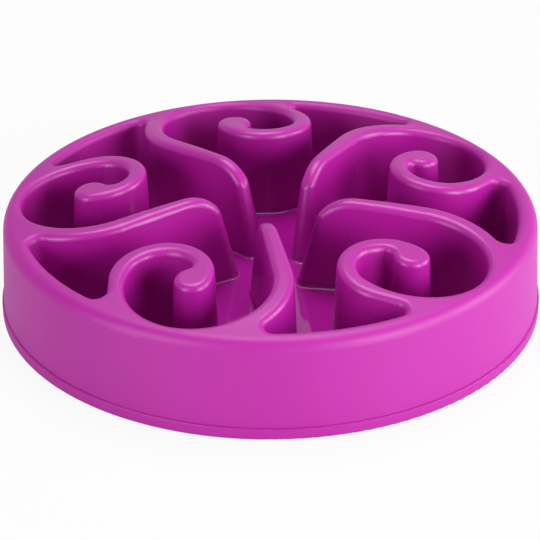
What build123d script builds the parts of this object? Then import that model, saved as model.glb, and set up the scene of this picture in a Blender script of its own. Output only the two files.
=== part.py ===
from build123d import *
import os
from math import acos, asin, atan2, cos, degrees, hypot, radians, sin, sqrt, tan

# Slow feeder bowl. The front of the bowl faces -Y, +Z is up and the origin lies on the table
# under the centre. All sizes are in millimetres and degrees.

# Overall form
base_radius = 140.0          # foot band, the widest part
foot_stand = 1.0             # how far the rubber feet lift the base off the table
band_height = 6.0            # visible foot band below the seam
ledge = 0.9                  # the band stands this far proud of the skirt
skirt_draw = 2.1             # the skirt comes in this much from its foot to its top corner
rim_round = 6.5              # rounding between skirt and land
rim_width = 9.7              # land between the skirt's top corner and the food space
crown_height = 65.3          # table to the top of the domed land, taken over the centre
crown_radius = 700.0         # the land is part of a sphere this large
skin = 2.5                   # moulded wall thickness
floor_level = 14.4           # table to the eating floor

# Central well, where the spines come down to the floor
well_corner_radius = 32.5
well_slope = 66.0
well_round = 20.6
well_foot_radius = 5.0       # the slope ends here, in the open middle

# Food space, drawn at the outline level for the sector with its hook at the front left
sectors = 5
outline_level = 57.0
wall_draft = 2.5
horn_round = 5.0             # corners where hooks and spines leave the rim
hub_radius = 57.1            # the big round pockets start this far from the bowl's centre
pocket_overrun = 1.6         # a pocket's wall lies this far outside the inner face of the rim
pocket_place_angle = -111.9
hook_turn = -25.1            # heading from a hook's centre to the centre of its pocket
hook_wall = 9.8
passage_step = 2.0           # the way round a hook's end is this much narrower than the hook's inside
bulb_radius = 9.1            # round end of the hook
bulb_angle = -24.9
notch_round = 4.0            # between the bulb and the inside of the hook
spine_wall = 10.3
tip_round = 4.0              # half the width of a spine's end
tip_foot_x = -4.8            # centre of the spine's end at the floor
tip_foot_y = -22.0
tip_heading = -77.1          # the end leans back along this heading as it rises
tip_lean = 12.3

# Rounded edges
land_edge_round = 3.5
floor_edge_round = 1.2

# Base cover
plate_thickness = 3.0
band_wall = 4.0
lip_wall = 2.4
lip_height = 4.0
fit_gap = 0.3
band_edge_round = 0.7
rib_wall = 2.0
hub_rib_radius = 10.0
outer_rib_radius = 76.0

# Rubber feet
foot_count = 5
foot_radius = 9.0
foot_socket_depth = 2.0
foot_gap = 0.15
foot_inset = 28.0            # centre of a foot to the edge of the base
foot_edge_round = 0.6

# Levels and sizes that follow from the above
over = 1.0                   # how far a cutter runs past what it cuts
level_match = 0.01           # faces this close to a level belong to it
land_steepness = 0.25        # upward part of a land face's normal; walls have less
seam_level = foot_stand + band_height
skirt_foot_radius = base_radius - ledge
rim_corner_radius = skirt_foot_radius - skirt_draw
space_radius = rim_corner_radius - rim_width
pocket_radius = (space_radius + pocket_overrun - hub_radius) / 2
pocket_place_radius = hub_radius + pocket_radius
foot_circle_radius = base_radius - foot_inset
floor_underside = floor_level - skin
hook_inner_radius = (2 * pocket_radius - hook_wall + passage_step) / 4
hook_outer_radius = hook_inner_radius + hook_wall
sector_turn = 360 / sectors


def along(heading, length=1.0):
    return Vector(length * cos(radians(heading)), length * sin(radians(heading)))


def heading_of(vector):
    return degrees(atan2(vector.Y, vector.X))


def angle_opposite(far, near_a, near_b):
    """Angle between two sides of a triangle, from the three lengths."""
    return degrees(acos((near_a**2 + near_b**2 - far**2) / (2 * near_a * near_b)))


def turn_arc(center, radius, start, end):
    return CenterArc((center.X, center.Y, 0), radius, start, end - start)


def space_outline(level, grow=0.0):
    """Closed outline of the food space at a level, with all its walls moved back by grow."""
    out = grow + (level - outline_level) * tan(radians(wall_draft))
    origin = Vector(0, 0)

    # pocket between the hub and the rim, and the hook inside it: two arcs about one centre, a straight
    # root and a round end
    pocket = along(pocket_place_angle, pocket_place_radius)
    hook = pocket - along(hook_turn, pocket_radius - hook_inner_radius)
    bulb = hook + along(bulb_angle, hook_outer_radius - bulb_radius)
    to_notch = hook_inner_radius - notch_round
    notch_turn = angle_opposite(bulb_radius + notch_round, hook_outer_radius - bulb_radius, to_notch)
    notch_angle = bulb_angle + notch_turn
    notch = hook + along(notch_angle, to_notch)
    bulb_end = heading_of(notch - bulb)

    # horn between the rim and the hook's root
    horn_reach = space_radius - horn_round
    horn_x = hook.X - hook_outer_radius - horn_round
    hook_horn = Vector(horn_x, -sqrt(horn_reach**2 - horn_x**2))
    root_x = hook.X - hook_outer_radius + out

    # spine that wraps the pocket on the outside and runs to the middle
    spine_radius = pocket_radius + spine_wall
    set_back = (level - floor_level) * tan(radians(tip_lean))
    tip = Vector(tip_foot_x, tip_foot_y) + along(tip_heading, set_back)
    span = tip - pocket
    left_run = heading_of(span) + degrees(asin((pocket_radius + tip_round) / span.length))
    right_run = heading_of(span) + degrees(asin((spine_radius - tip_round) / span.length))
    left_side, right_side = left_run - 90, right_run - 90

    # horn between the rim and the spine
    horn_angle = heading_of(pocket) + angle_opposite(spine_radius + horn_round, pocket.length, horn_reach)
    spine_horn = along(horn_angle, horn_reach)
    horn_side = heading_of(spine_horn - pocket)

    spine_edges = [
        Line(pocket + along(left_side, pocket_radius + out), tip + along(left_side + 180, tip_round - out)),
        turn_arc(tip, tip_round - out, left_side + 180, right_side),
        Line(tip + along(right_side, tip_round - out), pocket + along(right_side, spine_radius - out)),
        turn_arc(pocket, spine_radius - out, right_side, horn_side),
        turn_arc(spine_horn, horn_round + out, horn_side - 180, horn_angle),
    ]
    next_horn_angle = heading_of(hook_horn) + sector_turn
    rim_edges = [turn_arc(origin, space_radius + out, horn_angle, next_horn_angle)]
    hook_edges = [
        turn_arc(hook_horn, horn_round + out, heading_of(hook_horn), 0),
        Line(Vector(root_x, hook_horn.Y), Vector(root_x, hook.Y)),
        turn_arc(hook, hook_outer_radius - out, 180, bulb_angle),
        turn_arc(bulb, bulb_radius - out, bulb_angle, bulb_end - 360),
        turn_arc(notch, notch_round + out, bulb_end - 180, notch_angle),
        turn_arc(hook, hook_inner_radius + out, notch_angle, hook_turn + 180),
        turn_arc(pocket, pocket_radius + out, hook_turn + 180, left_side + 360),
    ]
    unit = hook_edges + spine_edges + rim_edges
    edges = [edge.rotate(Axis.Z, k * sector_turn) for k in range(sectors) for edge in unit]
    return Pos(0, 0, level) * Face(Wire(edges))


def food_space(bottom, top, grow=0.0):
    """Solid of the food space: straight drafted walls between two levels."""
    return loft([space_outline(bottom, grow), space_outline(top, grow)], ruled=True)


def eaten_from(top):
    """The food space as it is cut: from the eating floor up, with rounds where walls meet floor."""
    space = food_space(floor_level, top)
    return fillet(space.faces().sort_by(Axis.Z)[0].edges(), floor_edge_round)


def crown(radius, inset=0.0):
    """Height of the domed land at a radius, or of the inside of its skin."""
    sphere = crown_radius - inset
    return crown_height - crown_radius + sqrt(sphere**2 - radius**2)


def skirt_lean():
    """How much the skirt's radius falls for each millimetre of height."""
    return (skirt_foot_radius - rim_corner_radius) / (crown(rim_corner_radius) - seam_level)


def domed_body(bottom, inset=0.0):
    """Turned body under the land: skirt, rounded rim, dome and the central well."""
    slope = radians(well_slope)
    well_radius = well_corner_radius + inset * tan(slope / 2)
    rim_radius = rim_corner_radius - inset
    bottom_radius = rim_radius + skirt_lean() * (crown(rim_radius, inset) - bottom)
    rim_corner = (rim_radius, crown(rim_radius, inset))
    well_corner = (well_radius, crown(well_radius, inset))
    middle_radius = (rim_radius + well_radius) / 2
    well_drop = (well_radius - well_foot_radius) * tan(slope)
    well_foot = max(floor_level - inset, crown(well_radius, inset) - well_drop)
    outline = [
        Line((0, bottom), (bottom_radius, bottom)),
        Line((bottom_radius, bottom), rim_corner),
        ThreePointArc(rim_corner, (middle_radius, crown(middle_radius, inset)), well_corner),
        Line(well_corner, (well_foot_radius, well_foot)),
        Line((well_foot_radius, well_foot), (0, well_foot)),
        Line((0, well_foot), (0, bottom)),
    ]
    profile = Face(Wire(outline))
    corners = profile.vertices()
    rim_vertex = corners.sort_by(lambda v: (Vector(v) - Vector(*rim_corner)).length)[0]
    profile = profile.fillet_2d(rim_round - inset, [rim_vertex])
    well_vertex = profile.vertices().sort_by(lambda v: (Vector(v) - Vector(*well_corner)).length)[0]
    profile = profile.fillet_2d(well_round - inset, [well_vertex])
    return revolve(Plane.XZ * profile, Axis.Z)


def plan_radius(edge):
    middle = edge @ 0.5
    return hypot(middle.X, middle.Y)


def land_edges(body):
    """Edges where the land meets the walls of the food space, down round the spines' ends."""
    tops = [f for f in body.faces() if f.normal_at().Z > land_steepness and f.center().Z > floor_level + skin]
    edges = [edge for face in tops for edge in face.edges()]
    inside_rim = [edge for edge in edges if plan_radius(edge) < rim_corner_radius - rim_round]
    return [edge for edge in inside_rim if edges.count(edge) == 1]


def disc(radius, bottom, top):
    return Pos(0, 0, bottom) * Cylinder(radius, top - bottom, align=(Align.CENTER, Align.CENTER, Align.MIN))


def ring(outer, inner, bottom, top):
    return disc(outer, bottom, top) - disc(inner, bottom, top)


def maze_bowl():
    """One moulding: skirt, rim, land, hooks, spines and floor, hollow from below."""
    top = crown_height + over
    body = domed_body(seam_level) - eaten_from(top)
    body = fillet(land_edges(body), land_edge_round)
    hollow = domed_body(seam_level - over, skin) - food_space(floor_underside, top, skin)
    return body - hollow


def foot_places():
    return PolarLocations(foot_circle_radius, foot_count, start_angle=-90)


def base_cover():
    """Plate that closes the hollow bowl: foot band, locating lip, floor ribs and foot sockets."""
    plate_top = foot_stand + plate_thickness
    lip_outer = skirt_foot_radius - skin - fit_gap - lip_height * skirt_lean()
    cover = disc(base_radius, foot_stand, plate_top)
    cover += ring(base_radius, base_radius - band_wall, foot_stand, seam_level)
    rims = cover.edges().filter_by(GeomType.CIRCLE).sort_by(lambda e: e.radius)
    cover = fillet([e for e in rims if abs(e.radius - base_radius) < level_match], band_edge_round)
    cover += ring(lip_outer, lip_outer - lip_wall, foot_stand, seam_level + lip_height)
    for radius in (hub_rib_radius, outer_rib_radius):
        cover += ring(radius, radius - rib_wall, foot_stand, floor_underside)
    for place in foot_places():
        cover -= place * disc(foot_radius + foot_gap, foot_stand - over, foot_stand + foot_socket_depth)
    return cover


def rubber_foot(place):
    foot = disc(foot_radius, 0, foot_stand + foot_socket_depth)
    foot = fillet(foot.edges().sort_by(Axis.Z)[0], foot_edge_round)
    return place * foot


def assembly():
    nodes = {"maze_bowl": maze_bowl(), "base_cover": base_cover()}
    for number, place in enumerate(foot_places(), start=1):
        nodes[f"rubber_foot_{number}"] = rubber_foot(place)
    return nodes


if __name__ == "__main__":
    os.makedirs("parts", exist_ok=True)
    for name, solid in assembly().items():
        export_step(solid, f"parts/{name}.step")
        print(name, round(solid.volume / 1000, 1), "cm3", solid.is_valid)
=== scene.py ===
# %% [markdown]
# # A slow feeder bowl
# The bowl is one glossy moulding: a round skirt, a softly domed top and a maze of curled hooks and
# spines that makes a dog eat slowly. A flat base closes it from below and stands on five rubber feet.
# The solids already have those shapes and sizes, so this lesson dresses them: shading, plastic, rubber,
# a white studio and the camera.

# %% Load the solids
import math

import bpy
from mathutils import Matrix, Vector

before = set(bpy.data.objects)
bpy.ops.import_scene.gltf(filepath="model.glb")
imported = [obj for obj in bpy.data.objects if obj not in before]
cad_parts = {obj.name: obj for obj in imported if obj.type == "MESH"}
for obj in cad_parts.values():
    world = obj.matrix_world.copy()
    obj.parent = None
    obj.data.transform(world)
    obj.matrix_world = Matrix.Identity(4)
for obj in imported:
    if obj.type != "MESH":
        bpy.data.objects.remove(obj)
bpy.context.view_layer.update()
print("solids:", sorted(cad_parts))

# %% [markdown]
# ## Smooth skins
# A moulding has no facets: the tool is polished, and every edge is a small round. The solids come in as
# fine triangles, so the shading has to flow over them and break only at true corners, such as the seam.
# A subdivision surface would move the walls, so each face is shaded smooth instead, and an edge stays
# hard only where its two faces meet at more than the corner angle. No point moves.

# %% Shade the skins
corner_angle = math.radians(40)

for name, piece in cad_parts.items():
    piece.data.shade_smooth()
    piece.data.set_sharp_from_angle(angle=corner_angle)
    print("shaded", name, len(piece.data.polygons), "faces")

# %% [markdown]
# ## Purple plastic: the dye
# The bowl is dyed through in one magenta purple. A single flat colour would look like paint, so two
# shades of the dye are mixed by a wide, soft noise, which gives the slight cloudiness of real dyed
# plastic. The noise takes its place from the piece itself and has a size in metres, so the clouds stay
# in the plastic.

# %% Mix the dye
dye = (0.445, 0.0100, 0.329, 1)
dye_cloud = (0.430, 0.0094, 0.318, 1)
cloud_size, cloud_detail = 0.03, 3


def grain(tree, size, detail):
    """Noise that is as wide as size metres on the piece."""
    place = tree.nodes.new("ShaderNodeTexCoord")
    noise = tree.nodes.new("ShaderNodeTexNoise")
    noise.inputs["Scale"].default_value = 1 / size
    noise.inputs["Detail"].default_value = detail
    tree.links.new(place.outputs["Object"], noise.inputs["Vector"])
    return noise.outputs["Fac"]


def spread(tree, source, low, high, start=0.3, end=0.7):
    """Turn a noise, a height or a distance from start to end into values from low to high."""
    remap = tree.nodes.new("ShaderNodeMapRange")
    remap.inputs["From Min"].default_value = start
    remap.inputs["From Max"].default_value = end
    remap.inputs["To Min"].default_value = low
    remap.inputs["To Max"].default_value = high
    tree.links.new(source, remap.inputs["Value"])
    return remap.outputs["Result"]


def two_shades(tree, first, second, size, detail):
    """Two shades of a colour, mixed by noise."""
    colour = tree.nodes.new("ShaderNodeMix")
    colour.data_type = "RGBA"
    colour.inputs["A"].default_value = first
    colour.inputs["B"].default_value = second
    tree.links.new(spread(tree, grain(tree, size, detail), 0, 1), colour.inputs["Factor"])
    return colour.outputs["Result"]


print("dye", dye[:3], "clouded to", dye_cloud[:3], "over", 1000 * cloud_size, "mm")

# %% [markdown]
# ## Purple plastic: the gloss
# A mould is not polished alike all over: the eating floor mirrors the walls around it, the walls are
# glossy, the tops are a little duller and the skirt is satin. Each could be a material of its own, but
# then a hard line would show where two of them meet. So one roughness follows the height above the
# table inside the bowl and the distance from the middle outside it, with a short blend at each change.
# It also wanders a little, as on any moulding that has been handled.

# %% Set the gloss by place
floor_gloss, wall_gloss, land_gloss, skirt_gloss = 0.04, 0.28, 0.34, 0.48
floor_height = 0.0144
wall_start, wall_full = floor_height + 0.001, floor_height + 0.003
land_start, land_full = 0.045, 0.056
rim_start, rim_full = 0.116, 0.126
wander_size, wander_detail, wander_reach = 0.008, 4, 0.008


def combine(tree, operation, first, second):
    """Two values added, or the larger of them, and so on."""
    result = tree.nodes.new("ShaderNodeMath")
    result.operation = operation
    tree.links.new(first, result.inputs[0])
    tree.links.new(second, result.inputs[1])
    return result.outputs["Value"]


def distance_from_middle(tree, split):
    """How far a place is from the bowl's axis, in plan."""
    level = tree.nodes.new("ShaderNodeCombineXYZ")
    tree.links.new(split.outputs["X"], level.inputs["X"])
    tree.links.new(split.outputs["Y"], level.inputs["Y"])
    length = tree.nodes.new("ShaderNodeVectorMath")
    length.operation = "LENGTH"
    tree.links.new(level.outputs["Vector"], length.inputs[0])
    return length.outputs["Value"]


def gloss_by_place(tree, low_gloss):
    """The roughness; low_gloss holds up to the height of the eating floor."""
    place = tree.nodes.new("ShaderNodeTexCoord")
    split = tree.nodes.new("ShaderNodeSeparateXYZ")
    tree.links.new(place.outputs["Object"], split.inputs["Vector"])
    walls = spread(tree, split.outputs["Z"], low_gloss, wall_gloss, wall_start, wall_full)
    lands = spread(tree, split.outputs["Z"], 0, land_gloss - wall_gloss, land_start, land_full)
    outside = spread(tree, distance_from_middle(tree, split), 0, 1, rim_start, rim_full)
    polished = tree.nodes.new("ShaderNodeMix")
    tree.links.new(outside, polished.inputs["Factor"])
    tree.links.new(combine(tree, "ADD", walls, lands), polished.inputs["A"])
    polished.inputs["B"].default_value = skirt_gloss
    wander = spread(tree, grain(tree, wander_size, wander_detail), -wander_reach, wander_reach)
    return combine(tree, "ADD", polished.outputs["Result"], wander)


print("roughness: floor", floor_gloss, "walls", wall_gloss, "tops", land_gloss, "skirt", skirt_gloss)

# %% [markdown]
# ## Purple plastic: the moulded skin
# Plastic that cools in a mould gets a faint orange peel: shallow dimples, less than two millimetres
# wide, that make the edges of a reflection waver. They are far too small to model, so a bump does it.
# The base is satin all over, so it takes the skirt's gloss from the bottom up.

# %% Put the plastic on
peel_size, peel_detail = 0.0016, 2
peel_strength, peel_depth = 0.018, 0.0002
plastic_ior = 1.49


def new_finish(name):
    finish = bpy.data.materials.new(name)
    finish.use_nodes = True
    return finish, finish.node_tree, finish.node_tree.nodes["Principled BSDF"]


def dimples(tree, size, detail, strength, depth):
    """A fine bump from noise."""
    bump = tree.nodes.new("ShaderNodeBump")
    bump.inputs["Strength"].default_value = strength
    bump.inputs["Distance"].default_value = depth
    tree.links.new(grain(tree, size, detail), bump.inputs["Height"])
    return bump.outputs["Normal"]


def plastic(name, low_gloss):
    finish, tree, shader = new_finish(name)
    colour = two_shades(tree, dye, dye_cloud, cloud_size, cloud_detail)
    peel = dimples(tree, peel_size, peel_detail, peel_strength, peel_depth)
    tree.links.new(colour, shader.inputs["Base Color"])
    tree.links.new(gloss_by_place(tree, low_gloss), shader.inputs["Roughness"])
    tree.links.new(peel, shader.inputs["Normal"])
    shader.inputs["IOR"].default_value = plastic_ior
    return finish


def put_on(finish, name):
    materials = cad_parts[name].data.materials
    materials.clear()
    materials.append(finish)
    print(finish.name, "on", name)


put_on(plastic("purple_plastic", floor_gloss), "maze_bowl")
put_on(plastic("purple_base_plastic", skirt_gloss), "base_cover")

# %% [markdown]
# ## Rubber feet
# The feet are soft dark rubber, pressed into sockets. Rubber is dull and slightly dusty. A plain black
# would look like a hole, so it takes a fine speckle of two dark greys, a high roughness that varies
# like dust, and small pores.

# %% Put the rubber on
rubber_black = (0.030, 0.030, 0.033, 1)
rubber_dust = (0.060, 0.058, 0.060, 1)
speckle_size, speckle_detail = 0.0012, 5
dust_size, dust_detail = 0.004, 2
least_dull, most_dull = 0.7, 0.85
pore_size, pore_detail = 0.0006, 3
pore_strength, pore_depth = 0.25, 0.0002


def rubber(name):
    finish, tree, shader = new_finish(name)
    colour = two_shades(tree, rubber_black, rubber_dust, speckle_size, speckle_detail)
    dust = spread(tree, grain(tree, dust_size, dust_detail), least_dull, most_dull)
    pores = dimples(tree, pore_size, pore_detail, pore_strength, pore_depth)
    tree.links.new(colour, shader.inputs["Base Color"])
    tree.links.new(dust, shader.inputs["Roughness"])
    tree.links.new(pores, shader.inputs["Normal"])
    return finish


dark_rubber = rubber("dark_rubber")
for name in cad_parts:
    if name.startswith("rubber_foot"):
        put_on(dark_rubber, name)

# %% [markdown]
# ## White room
# The photograph is a shop picture on pure white. A white room is needed for two reasons: the camera
# sees it, and the glossy plastic mirrors it. The light that falls on the plastic has to come from the
# lamps alone, or all form would wash out. The Light Path node tells these cases apart: seen, mirrored,
# and the rest. The mirrored room is dimmer than the one that is seen, because the upper half of a real
# studio is.

# %% Build the room
white = (1, 1, 1, 1)
room_seen, room_mirrored = 1, 0.68


def seen_or_mirrored(tree, seen, mirrored):
    """seen for a ray straight from the eye, mirrored for one by way of gloss or glass, 0 for the rest."""
    path = tree.nodes.new("ShaderNodeLightPath")
    straight = spread(tree, path.outputs["Is Camera Ray"], 0, seen, 0, 1)
    glossy, through = path.outputs["Is Glossy Ray"], path.outputs["Is Transmission Ray"]
    bounced = spread(tree, combine(tree, "MAXIMUM", glossy, through), 0, mirrored, 0, 1)
    return combine(tree, "ADD", straight, bounced)


room = bpy.data.worlds.new("white_room")
bpy.context.scene.world = room
room.use_nodes = True
tree = room.node_tree
background = tree.nodes["Background"]
background.inputs["Color"].default_value = white
tree.links.new(seen_or_mirrored(tree, room_seen, room_mirrored), background.inputs["Strength"])
print("room seen at", room_seen, "and mirrored at", room_mirrored)

# %% [markdown]
# ## Paper floor
# The bowl stands on a sheet of white paper that runs out of the picture. Lit paper alone would come out
# grey beside the white room, and pure white would lose the shadow that sets the bowl on the ground. So
# a veil of white lies over the lit paper: the floor stays nearly white and still shows a soft shadow.

# %% Lay the floor
floor_side = 12
paper_grey, paper_rough = (0.8, 0.8, 0.8, 1), 0.9
veil_seen, veil_mirrored = 0.9, 0.2

bpy.ops.mesh.primitive_plane_add(size=floor_side, location=(0, 0, 0))
studio_floor = bpy.context.object
studio_floor.name = "studio_floor"
paper, tree, shader = new_finish("white_paper")
shader.inputs["Base Color"].default_value = paper_grey
shader.inputs["Roughness"].default_value = paper_rough
glow = tree.nodes.new("ShaderNodeEmission")
glow.inputs["Color"].default_value = white
veil = tree.nodes.new("ShaderNodeMixShader")
tree.links.new(seen_or_mirrored(tree, veil_seen, veil_mirrored), veil.inputs["Fac"])
tree.links.new(shader.outputs["BSDF"], veil.inputs[1])
tree.links.new(glow.outputs["Emission"], veil.inputs[2])
tree.links.new(veil.outputs["Shader"], tree.nodes["Material Output"].inputs["Surface"])
studio_floor.data.materials.append(paper)
print("floor", [round(side, 1) for side in studio_floor.dimensions])

# %% [markdown]
# ## Lamps
# The skirt is bright at the right and falls off to the left, while the walls inside go from bright at
# the top to deep shade at the floor. Light that comes in low does this: the rim and the hooks stop it
# before it reaches the floor. So three soft boxes stand low around the front, the strongest at the
# right, and draw the streaks along the rounded edges. A fourth, larger one hangs overhead and lifts the
# tops of the hooks and spines. A lamp is placed by its compass angle and its height angle, as a
# photographer would say it.

# %% Set up the soft boxes
lamp_distance = 1.6
lamp_target = Vector((0, 0, 0.03))


def soft_box(name, compass, height, width, power):
    """A round soft box that points at the bowl; angles in degrees, width in metres, power in watts."""
    compass, height = math.radians(compass), math.radians(height)
    reach = math.cos(height)
    away = Vector((math.cos(compass) * reach, math.sin(compass) * reach, math.sin(height)))
    lamp = bpy.data.lights.new(name, "AREA")
    lamp.shape = "DISK"
    lamp.size = width
    lamp.energy = power
    box = bpy.data.objects.new(name, lamp)
    box.location = lamp_target + lamp_distance * away
    box.rotation_euler = (-away).to_track_quat("-Z", "Y").to_euler()
    bpy.context.scene.collection.objects.link(box)
    print(name, "at", [round(value, 2) for value in box.location])


soft_box("right_front_box", compass=-45, height=15, width=0.9, power=18.9)
soft_box("right_box", compass=0, height=15, width=0.9, power=13.8)
soft_box("left_front_box", compass=225, height=15, width=0.9, power=11.6)
soft_box("ceiling_box", compass=90, height=77, width=1.2, power=19)

# %% [markdown]
# ## Camera
# The picture was taken from about 29 degrees above the table with a long lens, so the far side is
# hardly smaller than the near side. A short lens close by would flare the skirt. The distance, the lens
# and the small tilts come from fitting the rim, the foot and the maze outline to the photograph.

# %% Set up the camera
view_height = math.radians(29.45)
view_distance = 1.1976
view_target = Vector((0, 0, 0.001))
lift, turn, roll = math.radians(0.611), math.radians(0.015), math.radians(-0.24)
film_width, lens_length = 36, 151.87

lens_camera = bpy.data.cameras.new("lens_camera")
lens_camera.sensor_width = film_width
lens_camera.lens = lens_length
camera = bpy.data.objects.new("camera", lens_camera)
towards_eye = Vector((0, -math.cos(view_height), math.sin(view_height)))
camera.location = view_target + view_distance * towards_eye
camera.rotation_mode = "XYZ"
camera.rotation_euler = (math.pi / 2 - view_height + lift, 0, turn)
camera.rotation_euler.rotate_axis("Z", roll)
bpy.context.scene.collection.objects.link(camera)
bpy.context.scene.camera = camera
bpy.context.scene.view_settings.view_transform = "Standard"
print("camera at", [round(value, 3) for value in camera.location])
